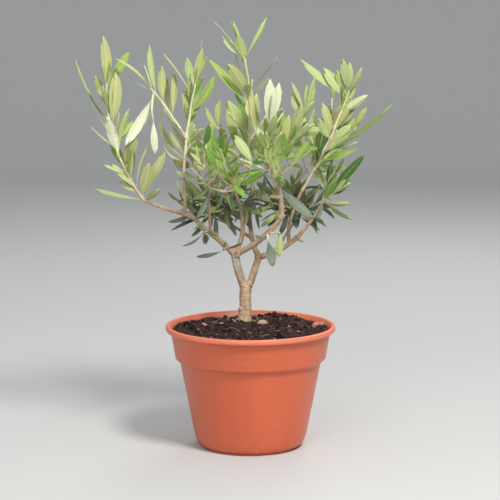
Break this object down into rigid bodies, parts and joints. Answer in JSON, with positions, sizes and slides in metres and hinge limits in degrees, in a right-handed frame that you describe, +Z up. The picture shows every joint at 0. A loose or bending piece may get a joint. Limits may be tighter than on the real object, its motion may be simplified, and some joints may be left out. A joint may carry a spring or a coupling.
{
  "type": "potted olive tree",
  "caption": "Young olive tree with a short forked trunk, open boughs and narrow silvery leaves, in a round tapered plastic pot filled with compost.",
  "frame": {"origin": "centre of the pot's flat underside", "axes": "+Z up the tree, +X to the right and +Y to the back as the tree is usually seen"},
  "size_m": [0.312, 0.2561, 0.4312],
  "materials": {
    "pot": "terracotta-coloured moulded plastic with a soft sheen and a little dust",
    "compost": "loose dark compost with fibres, crumbs and bark chips",
    "bark": "thin smooth tan-brown bark, greyer and rougher on the trunk",
    "foliage": "leathery leaves, satin green above and pale silvery green below, on pale tan twigs"
  },
  "bodies": {
    "root": {"pot": "pot", "compost": "compost", "trunk": "bark", "left_stem": "bark", "right_stem": "bark", "left_bough": "bark", "left_arm": "bark", "left_riser": "bark", "left_twig": "bark", "right_bough": "bark", "right_spur": "bark", "middle_stem": "bark", "middle_left": "bark", "middle_right": "bark", "right_branch": "bark", "right_arm": "bark", "right_riser": "bark", "back_stem": "bark", "back_left": "bark", "back_right": "bark", "low_left": "bark", "low_right": "bark", "left_outer_foliage": "foliage", "left_crown_foliage": "foliage", "centre_top_foliage": "foliage", "centre_right_foliage": "foliage", "right_upper_foliage": "foliage", "right_outer_foliage": "foliage", "left_inner_foliage": "foliage", "centre_left_foliage": "foliage", "back_top_foliage": "foliage", "back_left_foliage": "foliage", "back_right_foliage": "foliage", "low_left_foliage": "foliage", "low_right_foliage": "foliage", "left_sprig": "foliage", "fork_sprig": "foliage", "right_sprig": "foliage"}
  },
  "joints": []
}
